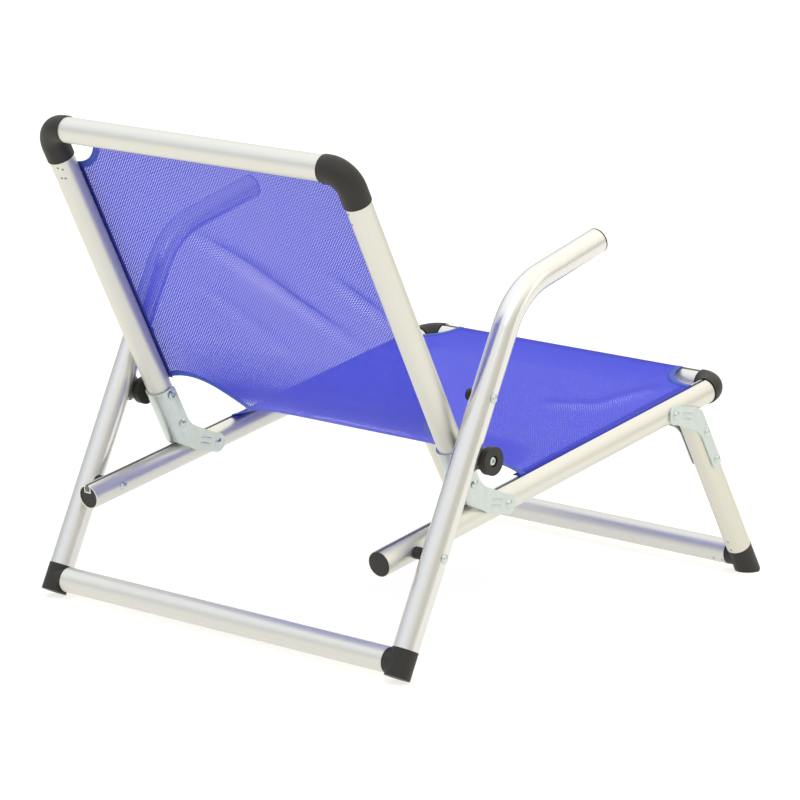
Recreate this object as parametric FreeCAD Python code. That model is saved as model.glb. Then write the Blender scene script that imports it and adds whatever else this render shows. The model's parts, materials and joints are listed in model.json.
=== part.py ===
"""Low folding sling chair: aluminium tube frame, woven sling, one STEP file for each piece.

Millimetres, +Z up, the sitter faces -Y and has +X on the left.  Most pieces are laid out in the
seat's side plane: "along" runs up the seat rail from its rear end, "off" stands square to the rail.
The finished model is moved so that its origin is the bottom centre of its bounding box.
"""
import FreeCAD, Part

import math
import os
from FreeCAD import Rotation, Vector

# ---- driving dimensions ---------------------------------------------------------------------
TUBE_R = 15.0            # every frame tube: outer radius
TUBE_WALL = 1.5
HALF_WIDTH = 227.0       # middle plane to the axis of a seat rail, upright or front leg
LEG_GAP = 12.0           # clear space between a seat rail and the rear leg beside it

SEAT_SLOPE = 10.9        # degrees, front edge up
RAIL_REAR_HEIGHT = 124.8 # rail axis above the floor at its rear end
FRONT_BAR_ALONG = 624.0  # front bar's axis along the rail

UPRIGHT_ALONG = 168.0    # where the upright's axis crosses the rail's axis
UPRIGHT_ANGLE = 108.7    # degrees from the rail's direction
UPRIGHT_REACH = 472.9    # crossing to the top bar's axis
FRONT_LEG_ALONG = 558.9
FRONT_LEG_ANGLE = -68.9
REAR_LEG_ALONG = 45.0
REAR_LEG_ANGLE = 54.4
BAR_HEIGHT = 21.8        # both floor cross bars: axis above the floor

ARM_REACH = 311.3        # rear leg pivot to the point where leg and arm axes meet
ARM_TURN = 49.3          # degrees, the leg tube's bend into the arm
ARM_BEND_R = 95.0
ARM_LENGTH = 146.0       # that meeting point to the arm's tip

BRACKET_T = 2.0          # bracket sheet
BRACKET_GAP = 0.3        # bracket sheet to tube
BRACKET_TOP = 97.0       # bracket's length along its tube, from the crossing
BRACKET_PIVOT = (36.0, -12.6)   # pivot in the bracket's own plane: towards the pivot, along the tube
BRACKET_EYE_R = 11.5
FASTENER_UP = (46.0, 88.0)      # the bracket's two fasteners, from the crossing
FASTENER_BACK = 1.5             # they pass behind the tube's channel
TUBE_END = 26.0          # crossing to the cut end of an upright or front leg

RIVET_R = 3.8
RIVET_HEAD_R = 5.6
RIVET_HEAD_H = 2.8
FIXED_FIT = 0.1          # radial clearance of a rivet in the pieces it clamps
TURNING_FIT = 0.08       # radial clearance of a piece that turns on its rivet

CHANNEL_IN = 7.4         # keder channel: inside width
CHANNEL_FLOOR = 6.4      # its floor, from the tube's axis
CHANNEL_WALL = 1.4
CHANNEL_MOUTH = 4.5
CHANNEL_LIP = 2.3        # the wall left beside the mouth
CORD_R = 2.2             # keder cord
CORD_SEAT = 9.9          # the cord's axis, from the tube's axis

SLING_T = 1.0
SLING_GAP = 0.3          # sling to the tube that it runs over
SLING_SPLIT = 0.6        # between a flat panel and the fold
SEAT_SLING_REAR = 256.0
SEAT_SLING_NOTCH = 45.0  # front corners: cut back from the front bar
BACK_SLING_LOW = 110.0   # crossing to the lower end of the back's hems
BACK_SLING_NOTCH = 42.0
NOTCH_SIDE = 52.0        # both notches: cut in from the rail's axis
FOLD_HALF_WIDTH = 204.0  # the sling between seat and back, between the brackets

ELBOW_R = 16.3
SEAT_ELBOW_BEND = 22.0
SEAT_ELBOW_NECK = 1.5    # the step between seat elbow and tube
BACK_ELBOW_BEND = 24.0
BACK_ELBOW_DOWN = 41.0   # top bar's axis to the upright's end
BACK_ELBOW_SIDE = 30.0   # upright's axis to the top bar's end
SPIGOT_LENGTH = 25.0
PLUG_FIT = 0.2           # spigots and plugs inside their tubes
PLUG_DEPTH = 12.0
PLUG_RECESS = 1.0

FOOT_OVER = 0.2          # the foot's collar on the leg stands out this far from the tube
FOOT_BAR_UNDER = 0.4     # its collar on the cross bar stays this far under the tube's surface
FOOT_LEG_STEP = 0.1      # the leg ends this far above the top of the cross bar's tube
FOOT_BAR_STEP = 2.5      # the cross bar ends this far from the side of the leg's tube
FOOT_TOE_STEP = 2.6      # rear foot: how far it reaches below the cross bar's tube, along the leg
FOOT_BEVEL = 15.0        # front foot's toe: bevelled this far back from its tip
FOOT_BEVEL_ANGLE = 32.0  # degrees above the floor

ROLLER_BORE_R = 3.5
ROLLER_BOLT_FIT = 0.4    # radial clearance of its bolt in upright and bracket, over the bore's
ROLLER_LEG = 27.2        # its axis to the axis of a leg that lies in its groove
ROLLER_RIM_R = 16.3
ROLLER_RIM_T = 8.5
ROLLER_PLAY = 0.5        # leg to groove, and roller to the bolt's head
ROLLER_RECESS_R = 6.4    # in the outer face, for the bolt's head
ROLLER_RECESS = 5.5
SPACER_R = 7.0
STUD_REACH = 186.0       # leg pivot to the stop stud
STUD_R = 7.0
STUD_LENGTH = 6.0

# ---- sizes that follow ----------------------------------------------------------------------
LEG_HALF_WIDTH = HALF_WIDTH + 2 * TUBE_R + LEG_GAP
BORE_R = TUBE_R - TUBE_WALL
FOOT_R = TUBE_R + FOOT_OVER
FOOT_BAR_R = TUBE_R - FOOT_BAR_UNDER
FOOT_COLLAR = TUBE_R + FOOT_LEG_STEP
FOOT_BAR_COLLAR = TUBE_R + FOOT_BAR_STEP
FOOT_TOE = TUBE_R + FOOT_TOE_STEP
ROLLER_NECK_R = ROLLER_LEG - TUBE_R
RIVET_HOLE = RIVET_R + FIXED_FIT
PIVOT_HOLE = RIVET_R + TURNING_FIT
ROLLER_BOLT_HOLE = ROLLER_BORE_R + ROLLER_BOLT_FIT
CHANNEL_OUT = CHANNEL_IN + 2 * CHANNEL_WALL
EAR_IN = TUBE_R + BRACKET_GAP
EAR_OUT = EAR_IN + BRACKET_T

SLOPE = math.radians(SEAT_SLOPE)
X_AXIS = Vector(1, 0, 0)
RAIL_DIR = Vector(0, -math.cos(SLOPE), math.sin(SLOPE))
RAIL_OFF = Vector(0, math.sin(SLOPE), math.cos(SLOPE))
RAIL_ORIGIN = Vector(0, 0, RAIL_REAR_HEIGHT)


def side_point(x, along, off=0.0):
    """A point given in the seat rail's side plane."""
    return RAIL_ORIGIN + X_AXIS * x + RAIL_DIR * along + RAIL_OFF * off


def side_dir(degrees):
    """A direction in the side plane, turned from the rail's direction towards 'off'."""
    angle = math.radians(degrees)
    return RAIL_DIR * math.cos(angle) + RAIL_OFF * math.sin(angle)


def placed(shape, origin, z_axis, x_axis):
    """The shape with its own +Z and +X laid along the two given directions."""
    moved = shape.copy()
    y_axis = z_axis.cross(x_axis)
    moved.Placement = FreeCAD.Placement(origin, Rotation(x_axis, y_axis, z_axis, "ZXY"))
    return moved


def rod(centre, direction, length, radius):
    return Part.makeCylinder(radius, length, centre, direction)


def across(x_from, x_to, point, radius):
    """A cylinder along X through a side-plane point."""
    return rod(Vector(x_from, point.y, point.z), X_AXIS, x_to - x_from, radius)


def slab(low, high):
    """A box from its two corners."""
    size = high - low
    return Part.makeBox(size.x, size.y, size.z, low)


# ---- tubes ----------------------------------------------------------------------------------
def plain_tube(length):
    return Part.makeCylinder(TUBE_R, length).cut(Part.makeCylinder(BORE_R, length))


def channel_tube(length):
    """A tube with a keder channel let into its +X side."""
    half_out = CHANNEL_OUT / 2
    half_in = CHANNEL_IN / 2
    half_mouth = CHANNEL_MOUTH / 2
    box = slab(Vector(CHANNEL_FLOOR - CHANNEL_WALL, -half_out, 0), Vector(TUBE_R, half_out, length))
    wall = plain_tube(length).fuse(box.common(Part.makeCylinder(TUBE_R, length)))
    cavity = slab(Vector(CHANNEL_FLOOR, -half_in, 0), Vector(TUBE_R - CHANNEL_LIP, half_in, length))
    mouth = slab(Vector(CHANNEL_FLOOR, -half_mouth, 0), Vector(TUBE_R + 1, half_mouth, length))
    return wall.cut(cavity).cut(mouth)


def plug_core(length, notched=True):
    """What fills a tube's bore, notched around the channel where the tube has one."""
    core = Part.makeCylinder(BORE_R - PLUG_FIT, length)
    if notched:
        half = CHANNEL_OUT / 2 + PLUG_FIT
        floor = CHANNEL_FLOOR - CHANNEL_WALL - PLUG_FIT
        core = core.cut(slab(Vector(floor, -half, 0), Vector(TUBE_R, half, length)))
    return core


def drilled(shape, holes):
    """Cut cross holes along X: each is (side-plane point, radius)."""
    reach = LEG_HALF_WIDTH + 2 * TUBE_R
    for point, radius in holes:
        shape = shape.cut(across(-reach, reach, point, radius))
    return shape


# ---- fasteners ------------------------------------------------------------------------------
def dome(x, side, point):
    """A domed rivet head that sits at x and points to the given side."""
    ball_r = (RIVET_HEAD_R ** 2 + RIVET_HEAD_H ** 2) / (2 * RIVET_HEAD_H)
    ball = Part.makeSphere(ball_r, Vector(x + side * (RIVET_HEAD_H - ball_r), point.y, point.z))
    low, high = sorted((x, x + side * RIVET_HEAD_H))
    return ball.common(across(low, high, point, RIVET_HEAD_R))


def rivet(x_from, x_to, point, radius=RIVET_R):
    return across(x_from, x_to, point, radius).fuse([dome(x_from, -1, point), dome(x_to, 1, point)])


def bracket_point(crossing, angle, inward, reach):
    """A point in a bracket's plane: 'inward' from the tube's axis to its pivot, 'reach' along the tube."""
    return crossing + side_dir(angle - 90) * inward + side_dir(angle) * reach


# ---- bracket: one stamping, used four times -------------------------------------------------
def bracket_outline():
    """The bracket's side view: x towards the pivot, y along the tube it holds."""
    eye_x, eye_y = BRACKET_PIVOT
    back = -EAR_OUT - 1      # past the shell, which is what cuts it there
    rim = [eye_point(eye_x, eye_y, degrees) for degrees in (-130, -32, 66)]
    neck = Vector(eye_x * 0.52, 25.0, 0)
    shoulder = Vector(8.0, 50.0, 0)
    corner = Vector(8.0, BRACKET_TOP - 4, 0)
    top = Vector(4.0, BRACKET_TOP, 0)
    heel = Vector(back, 29.0, 0)
    belly = Vector(1.0, 2.5, 0)
    edges = [
        Part.Arc(rim[0], rim[1], rim[2]).toShape(),
        Part.makeLine(rim[2], neck),
        Part.Arc(neck, Vector(10.6, 37.0, 0), shoulder).toShape(),
        Part.makeLine(shoulder, corner),
        Part.Arc(corner, Vector(6.9, BRACKET_TOP - 1.2, 0), top).toShape(),
        Part.makeLine(top, Vector(back, BRACKET_TOP, 0)),
        Part.makeLine(Vector(back, BRACKET_TOP, 0), heel),
        Part.Arc(heel, Vector(-6.5, 13.5, 0), belly).toShape(),
        Part.makeLine(belly, rim[0]),
    ]
    return Part.Face(Part.Wire(edges))


def eye_point(eye_x, eye_y, degrees):
    angle = math.radians(degrees)
    return Vector(eye_x + BRACKET_EYE_R * math.cos(angle), eye_y + BRACKET_EYE_R * math.sin(angle), 0)


def bracket_shell(radius):
    """Half-round behind the tube and straight beside it, as one block."""
    low = BRACKET_PIVOT[1] - 2 * BRACKET_EYE_R
    length = BRACKET_TOP - low
    reach = BRACKET_PIVOT[0] + 2 * BRACKET_EYE_R
    sides = slab(Vector(0, -radius, low), Vector(reach, radius, BRACKET_TOP))
    return Part.makeCylinder(radius, length, Vector(0, 0, low)).fuse(sides)


def bracket(x, crossing, angle, pivot, holes):
    """The stamping around the tube at x, its eye at the pivot."""
    shell = bracket_shell(EAR_OUT).cut(bracket_shell(EAR_IN))
    outline = bracket_outline().extrude(Vector(0, 0, 4 * EAR_OUT))
    # the outline's plane is turned upright, and its thickness laid across the shell
    prism = placed(outline, Vector(0, 2 * EAR_OUT, 0), Vector(0, -1, 0), X_AXIS)
    body = prism.common(shell)
    body = placed(body, Vector(x, crossing.y, crossing.z), side_dir(angle), side_dir(angle - 90))
    return drilled(body, holes + [(pivot, PIVOT_HOLE)])


# ---- plastic corners and feet ---------------------------------------------------------------
def elbow(corner, down_dir, side, slot_dir, bend, down_end, side_end, neck=0):
    """A round 90 degree corner with a notched spigot into each tube."""
    inward = Vector(-side, 0, 0)
    centre = corner + down_dir * bend + inward * bend
    start = corner + down_dir * bend
    disc = Part.Face(Part.Wire(Part.makeCircle(ELBOW_R, start, down_dir)))
    body = disc.revolve(centre, inward.cross(down_dir), 90)
    for direction, end in ((down_dir, down_end), (inward, side_end)):
        collar = end - neck - bend
        if collar > 0:
            body = body.fuse(rod(corner + direction * bend, direction, collar, ELBOW_R))
        if neck > 0:
            step = rod(corner + direction * (end - neck), direction, neck, BORE_R - PLUG_FIT)
            body = body.fuse(step)
        spigot = placed(plug_core(SPIGOT_LENGTH), corner + direction * end, direction, slot_dir)
        body = body.fuse(spigot)
    return body


def foot(corner, leg_up, toe_forward):
    """The left floor corner, for a leg and a cross bar; its sole is cut by the floor."""
    inward = Vector(-1, 0, 0)
    reach = 2 * FOOT_R if toe_forward else FOOT_TOE
    body = rod(corner - leg_up * reach, leg_up, FOOT_COLLAR + reach, FOOT_R)
    body = body.fuse(rod(corner, inward, FOOT_BAR_COLLAR, FOOT_BAR_R))
    for direction, collar in ((leg_up, FOOT_COLLAR), (inward, FOOT_BAR_COLLAR)):
        start = corner + direction * collar
        body = body.fuse(placed(plug_core(SPIGOT_LENGTH, False), start, direction,
                                direction.cross(leg_up.cross(inward))))
    size = 8 * FOOT_R
    floor = Part.makeBox(size, size, size, Vector(corner.x - size / 2, corner.y - size / 2, -size))
    body = body.cut(floor)
    if toe_forward:
        body = body.cut(toe_wedge(corner, leg_up))
    return body.removeSplitter()


def toe_wedge(corner, leg_up):
    """What bevels the front foot's toe: all that lies below a slope ahead of the sole."""
    front = -(FOOT_R + BAR_HEIGHT * leg_up.y) / leg_up.z
    size = 4 * FOOT_R
    rise = size * math.tan(math.radians(FOOT_BEVEL_ANGLE))
    base = Vector(corner.x - size / 2, corner.y + front + FOOT_BEVEL, 0)
    wedge = Part.makePolygon([base, base + Vector(0, -size, rise), base + Vector(0, -size, 0), base])
    return Part.Face(wedge).extrude(X_AXIS * size)


# ---- the chair ------------------------------------------------------------------------------
SIDES = (("left", 1), ("right", -1))
leg_pivot = side_point(0, REAR_LEG_ALONG)
upright_foot = side_point(0, UPRIGHT_ALONG)
front_leg_head = side_point(0, FRONT_LEG_ALONG)
back_pivot = bracket_point(upright_foot, UPRIGHT_ANGLE, *BRACKET_PIVOT)
front_pivot = bracket_point(front_leg_head, FRONT_LEG_ANGLE, *BRACKET_PIVOT)
upright_dir = side_dir(UPRIGHT_ANGLE)
upright_front = side_dir(UPRIGHT_ANGLE - 90)
front_leg_dir = side_dir(FRONT_LEG_ANGLE)
rear_leg_dir = side_dir(REAR_LEG_ANGLE)
arm_dir = side_dir(REAR_LEG_ANGLE - ARM_TURN)
top_bar = upright_foot + upright_dir * UPRIGHT_REACH
front_bar = side_point(0, FRONT_BAR_ALONG)
rear_reach = (leg_pivot.z - BAR_HEIGHT) / rear_leg_dir.z
front_reach = (front_leg_head.z - BAR_HEIGHT) / -front_leg_dir.z
rear_bar = leg_pivot - rear_leg_dir * rear_reach
front_floor_bar = front_leg_head + front_leg_dir * front_reach
rail_end = FRONT_BAR_ALONG - SEAT_ELBOW_BEND - SEAT_ELBOW_NECK
back_fasteners = []
front_fasteners = []
for up in FASTENER_UP:
    back_fasteners.append(bracket_point(upright_foot, UPRIGHT_ANGLE, -FASTENER_BACK, up))
    front_fasteners.append(bracket_point(front_leg_head, FRONT_LEG_ANGLE, -FASTENER_BACK, up))
stud = leg_pivot + rear_leg_dir * STUD_REACH
roller_axis = back_fasteners[1]
back_holes = [(back_fasteners[0], RIVET_HOLE), (roller_axis, ROLLER_BOLT_HOLE)]
front_holes = [(point, RIVET_HOLE) for point in front_fasteners]


def at_x(x, point):
    return Vector(x, point.y, point.z)


def seat_frame():
    pieces = {}
    for name, side in SIDES:
        x = side * HALF_WIDTH
        rail = placed(channel_tube(rail_end), side_point(x, 0), RAIL_DIR, RAIL_OFF)
        holes = [(point, RIVET_HOLE) for point in (back_pivot, front_pivot, leg_pivot)]
        pieces["seat_rail_" + name] = drilled(rail, holes)
        end = SEAT_ELBOW_BEND + SEAT_ELBOW_NECK
        pieces["seat_elbow_" + name] = elbow(at_x(x, front_bar), RAIL_DIR * -1, side, RAIL_OFF,
                                             SEAT_ELBOW_BEND, end, end, SEAT_ELBOW_NECK)
        plug = plug_core(PLUG_DEPTH)
        pieces["seat_end_plug_" + name] = placed(plug, side_point(x, PLUG_RECESS), RAIL_DIR, RAIL_OFF)
        near, far = sorted((side * (HALF_WIDTH + TUBE_R), side * (LEG_HALF_WIDTH - TUBE_R)))
        spacer = across(near + FIXED_FIT, far - FIXED_FIT, leg_pivot, SPACER_R)
        pieces["leg_spacer_" + name] = drilled(spacer, [(leg_pivot, RIVET_HOLE)])
    half = HALF_WIDTH - SEAT_ELBOW_BEND - SEAT_ELBOW_NECK
    pieces["seat_front_bar"] = placed(channel_tube(2 * half), at_x(-half, front_bar), X_AXIS, RAIL_OFF)
    for node, point in (("back_pivot_rivets", back_pivot), ("front_pivot_rivets", front_pivot)):
        reach = EAR_OUT + TURNING_FIT
        pair = [rivet(side * HALF_WIDTH - reach, side * HALF_WIDTH + reach, point) for _, side in SIDES]
        pieces[node] = Part.makeCompound(pair)
    pair = []
    for _, side in SIDES:
        low, high = sorted((side * (HALF_WIDTH - TUBE_R), side * (LEG_HALF_WIDTH + TUBE_R)))
        pair.append(rivet(low - FIXED_FIT, high + FIXED_FIT, leg_pivot))
    pieces["leg_pivot_rivets"] = Part.makeCompound(pair)
    pieces["sling_seat"] = sling_panel(RAIL_DIR, RAIL_OFF, side_point(0, 0), SEAT_SLING_REAR,
                                       FRONT_BAR_ALONG, SEAT_SLING_NOTCH)
    pieces["seat_keder_cords"] = keder_cords(RAIL_DIR, RAIL_OFF, side_point(0, 0), SEAT_SLING_REAR,
                                             FRONT_BAR_ALONG, SEAT_SLING_NOTCH)
    pieces["sling_fold"] = sling_fold()
    return pieces


def backrest():
    pieces = {}
    for name, side in SIDES:
        x = side * HALF_WIDTH
        start = at_x(x, upright_foot + upright_dir * TUBE_END)
        tube = channel_tube(UPRIGHT_REACH - TUBE_END - BACK_ELBOW_DOWN)
        upright = placed(tube, start, upright_dir, upright_front)
        pieces["back_upright_" + name] = drilled(upright, back_holes)
        pieces["back_elbow_" + name] = elbow(at_x(x, top_bar), upright_dir * -1, side, upright_front,
                                             BACK_ELBOW_BEND, BACK_ELBOW_DOWN, BACK_ELBOW_SIDE)
        pieces["back_bracket_" + name] = bracket(x, upright_foot, UPRIGHT_ANGLE, back_pivot, back_holes)
    half = HALF_WIDTH - BACK_ELBOW_SIDE
    pieces["back_top_bar"] = placed(channel_tube(2 * half), at_x(-half, top_bar), X_AXIS, upright_front)
    pieces["back_bracket_rivets"] = tube_rivets(back_fasteners[:1])
    pieces["roller_bolts"] = Part.makeCompound([roller_bolt(side) for _, side in SIDES])
    pieces["sling_back"] = sling_panel(upright_dir, upright_front, upright_foot, BACK_SLING_LOW,
                                       UPRIGHT_REACH, BACK_SLING_NOTCH)
    pieces["back_keder_cords"] = keder_cords(upright_dir, upright_front, upright_foot, BACK_SLING_LOW,
                                             UPRIGHT_REACH, BACK_SLING_NOTCH)
    return pieces


def tube_rivets(points):
    """Rivets through the brackets of both sides."""
    reach = EAR_OUT + FIXED_FIT
    made = []
    for _, side in SIDES:
        for point in points:
            made.append(rivet(side * HALF_WIDTH - reach, side * HALF_WIDTH + reach, point))
    return Part.makeCompound(made)


def roller_reach():
    """The leg's axis to each end face of the roller."""
    groove_r = TUBE_R + ROLLER_PLAY
    rise = ROLLER_NECK_R + groove_r - ROLLER_RIM_R
    return math.sqrt(groove_r ** 2 - rise ** 2) + ROLLER_RIM_T


def roller(side):
    """A spool: the rear leg lies in its round groove, and its outer face takes the bolt's head."""
    x = side * LEG_HALF_WIDTH
    reach = roller_reach()
    groove_r = TUBE_R + ROLLER_PLAY
    spool = across(x - reach, x + reach, roller_axis, ROLLER_RIM_R)
    groove = Part.makeTorus(ROLLER_NECK_R + groove_r, groove_r, at_x(x, roller_axis), X_AXIS)
    low, high = sorted((x + side * (reach - ROLLER_RECESS), x + side * (reach + 1)))
    recess = across(low, high, roller_axis, ROLLER_RECESS_R)
    return drilled(spool.cut(groove).cut(recess), [(roller_axis, ROLLER_BORE_R)])


def roller_bolt(side):
    """The bracket's upper bolt, long enough to carry the roller."""
    inner = side * (HALF_WIDTH - EAR_OUT - FIXED_FIT)
    outer = side * (LEG_HALF_WIDTH + roller_reach() - ROLLER_RECESS + ROLLER_PLAY)
    low, high = sorted((inner, outer))
    bolt = across(low, high, roller_axis, ROLLER_BORE_R - TURNING_FIT)
    return bolt.fuse([dome(outer, side, roller_axis), dome(inner, -side, roller_axis)])


def front_legs():
    up = front_leg_dir * -1
    pieces = {}
    for name, side in SIDES:
        x = side * HALF_WIDTH
        start = at_x(x, front_leg_head + front_leg_dir * TUBE_END)
        tube = plain_tube(front_reach - TUBE_END - FOOT_COLLAR)
        leg = placed(tube, start, front_leg_dir, X_AXIS)
        pieces["front_leg_" + name] = drilled(leg, front_holes)
        front_foot = foot(at_x(HALF_WIDTH, front_floor_bar), up, True)
        pieces["front_foot_" + name] = front_foot if side > 0 else front_foot.mirror(Vector(), X_AXIS)
        pieces["front_bracket_" + name] = bracket(x, front_leg_head, FRONT_LEG_ANGLE,
                                                  front_pivot, front_holes)
    half = HALF_WIDTH - FOOT_BAR_COLLAR
    pieces["front_cross_bar"] = placed(plain_tube(2 * half), at_x(-half, front_floor_bar), X_AXIS, RAIL_OFF)
    pieces["front_bracket_rivets"] = tube_rivets(front_fasteners)
    return pieces


def arm_tube(side):
    """Leg and arm in one bent tube, from its lower end to the arm's tip."""
    x = side * LEG_HALF_WIDTH
    tangent = ARM_BEND_R * math.tan(math.radians(ARM_TURN / 2))
    low = at_x(x, rear_bar + rear_leg_dir * FOOT_COLLAR)
    knee = at_x(x, leg_pivot + rear_leg_dir * ARM_REACH)
    bend_start = knee - rear_leg_dir * tangent
    bend_end = knee + arm_dir * tangent
    centre = bend_start + side_dir(REAR_LEG_ANGLE - 90) * ARM_BEND_R
    straight = placed(plain_tube((bend_start - low).Length), low, rear_leg_dir, X_AXIS)
    arm = placed(plain_tube(ARM_LENGTH - tangent), bend_end, arm_dir, X_AXIS)
    outer = Part.Face(Part.Wire(Part.makeCircle(TUBE_R, bend_start, rear_leg_dir)))
    inner = Part.Face(Part.Wire(Part.makeCircle(BORE_R, bend_start, rear_leg_dir)))
    bend = outer.cut(inner).revolve(centre, X_AXIS, ARM_TURN)
    return straight.fuse([bend, arm]).removeSplitter()


def rear_legs():
    pieces = {}
    studs = []
    sleeves = []
    tip = leg_pivot + rear_leg_dir * ARM_REACH + arm_dir * ARM_LENGTH
    for name, side in SIDES:
        x = side * LEG_HALF_WIDTH
        holes = [(leg_pivot, PIVOT_HOLE), (stud, RIVET_HOLE)]
        pieces["rear_leg_" + name] = drilled(arm_tube(side), holes)
        rear_foot = foot(at_x(LEG_HALF_WIDTH, rear_bar), rear_leg_dir, False)
        pieces["rear_foot_" + name] = rear_foot if side > 0 else rear_foot.mirror(Vector(), X_AXIS)
        core = placed(plug_core(PLUG_DEPTH, False), at_x(x, tip), arm_dir * -1, X_AXIS)
        cap = rod(at_x(x, tip), arm_dir, 2 * PLUG_RECESS, TUBE_R)
        pieces["arm_plug_" + name] = core.fuse(cap)
        inner = side * (LEG_HALF_WIDTH - TUBE_R - FIXED_FIT)
        stud_end = inner - side * STUD_LENGTH
        low, high = sorted((inner, stud_end))
        sleeve = across(low, high, stud, STUD_R)
        sleeves.append(drilled(sleeve, [(stud, RIVET_HOLE)]))
        outer = side * (LEG_HALF_WIDTH + TUBE_R + FIXED_FIT)
        low, high = sorted((stud_end, outer))
        studs.append(across(low, high, stud, RIVET_R).fuse(dome(outer, side, stud)))
    half = LEG_HALF_WIDTH - FOOT_BAR_COLLAR
    pieces["rear_cross_bar"] = placed(plain_tube(2 * half), at_x(-half, rear_bar), X_AXIS, RAIL_OFF)
    pieces["leg_stop_studs"] = Part.makeCompound(studs)
    pieces["leg_stop_sleeves"] = Part.makeCompound(sleeves)
    return pieces


# ---- sling ----------------------------------------------------------------------------------
def hem_runs(run_dir, origin, start, bar_at, notch):
    """The three hems of a panel: start point, direction and length on the tubes' axes."""
    side_length = bar_at - notch - start
    half = HALF_WIDTH - NOTCH_SIDE
    runs = [(origin + X_AXIS * (side * HALF_WIDTH) + run_dir * start, run_dir, side_length)
            for _, side in SIDES]
    runs.append((origin - X_AXIS * half + run_dir * bar_at, X_AXIS, 2 * half))
    return runs


def keder_cords(run_dir, face_dir, origin, start, bar_at, notch):
    cords = []
    for point, direction, length in hem_runs(run_dir, origin, start, bar_at, notch):
        cords.append(rod(point + face_dir * CORD_SEAT, direction, length, CORD_R))
    return Part.makeCompound(cords)


def sling_panel(run_dir, face_dir, origin, start, bar_at, notch):
    """A flat panel over the tubes' faces, with a hem round each cord in its channel."""
    level = TUBE_R + SLING_GAP
    hem_in = CORD_R + FIXED_FIT
    hem_out = hem_in + SLING_T / 2
    half_bar = HALF_WIDTH - NOTCH_SIDE
    edge = SLING_T / 2
    wide = slab(Vector(0, -HALF_WIDTH - edge, start), Vector(SLING_T, HALF_WIDTH + edge, bar_at - notch))
    narrow = slab(Vector(0, -half_bar, start), Vector(SLING_T, half_bar, bar_at + edge))
    panel = placed(wide.fuse(narrow), origin + face_dir * level, run_dir, face_dir)
    for point, direction, length in hem_runs(run_dir, origin, start, bar_at, notch):
        web = slab(Vector(CORD_SEAT + hem_in, -edge, 0), Vector(level + edge, edge, length))
        loop = Part.makeCylinder(hem_out, length, Vector(CORD_SEAT, 0, 0))
        hem = web.fuse(loop).cut(Part.makeCylinder(hem_in, length, Vector(CORD_SEAT, 0, 0)))
        panel = panel.fuse(placed(hem, point, direction, face_dir))
    return panel.removeSplitter()


def sling_fold():
    """The sling's run from the seat up to the back, rounded where the two planes meet."""
    level = TUBE_R + SLING_GAP
    low_back = upright_foot + upright_dir * (BACK_SLING_LOW - SLING_SPLIT) + upright_front * level
    seat_rear = side_point(0, SEAT_SLING_REAR - SLING_SPLIT, level)
    drop = (low_back - seat_rear).dot(RAIL_OFF) / upright_dir.dot(RAIL_OFF)
    corner = low_back - upright_dir * drop
    tangent = min(drop, (seat_rear - corner).dot(RAIL_DIR))
    bend_r = tangent / math.tan(math.radians((180 - UPRIGHT_ANGLE) / 2))
    centre = corner + RAIL_DIR * tangent + RAIL_OFF * bend_r
    start = corner + RAIL_DIR * tangent
    width = X_AXIS * (2 * FOLD_HALF_WIDTH)
    section = Part.Face(Part.makePolygon([
        start, start + width, start + width + RAIL_OFF * SLING_T, start + RAIL_OFF * SLING_T, start]))
    section.translate(X_AXIS * -FOLD_HALF_WIDTH)
    fold = section.revolve(centre, X_AXIS, 180 - UPRIGHT_ANGLE)
    pieces = [fold]
    flat = (seat_rear - start).Length
    if flat > 0.01:
        pieces.append(section.extrude(RAIL_DIR * flat))
    rest = drop - tangent
    if rest > 0.01:
        turned = section.copy()
        turned.rotate(centre, X_AXIS, 180 - UPRIGHT_ANGLE)
        pieces.append(turned.extrude(upright_dir * rest))
    return pieces[0].multiFuse(pieces[1:]).removeSplitter() if len(pieces) > 1 else fold


# ---- assemble, centre and write -------------------------------------------------------------
pieces = {}
for group in (seat_frame(), backrest(), front_legs(), rear_legs()):
    pieces.update(group)
for name, side in SIDES:
    pieces["roller_" + name] = roller(side)

box = Part.makeCompound(list(pieces.values())).optimalBoundingBox(False, False)
shift = Vector(0, -box.Center.y, 0)

os.makedirs("parts", exist_ok=True)
for name, shape in pieces.items():
    shape.translate(shift)
    shape.exportStep("parts/" + name + ".step")

print("size", round(box.XLength, 2), round(box.YLength, 2), round(box.ZLength, 2))
print("floor", round(box.ZMin, 3), "leg to roller", round(roller_axis.distanceToLine(leg_pivot, rear_leg_dir), 2))
places = {"back_pivot": back_pivot, "front_pivot": front_pivot, "leg_pivot": leg_pivot,
          "roller_axis": roller_axis, "front_floor_bar": front_floor_bar, "rear_bar": rear_bar}
for label, point in places.items():
    moved = point + shift
    print(label, round(moved.y, 4), round(moved.z, 4))
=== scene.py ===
"""A low folding sling chair: the finishes, the woven sling and the small fittings round its frame.

Metres, in the frame's own space: the sitter faces -Y.  On the sling, x is the distance from the
middle plane and q runs from the front bar's axis, along the seat, to the top bar's axis.
"""
import json
from math import cos, hypot, pi, radians, sin, tan

import bmesh
import bpy
from mathutils import Matrix, Vector


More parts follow.
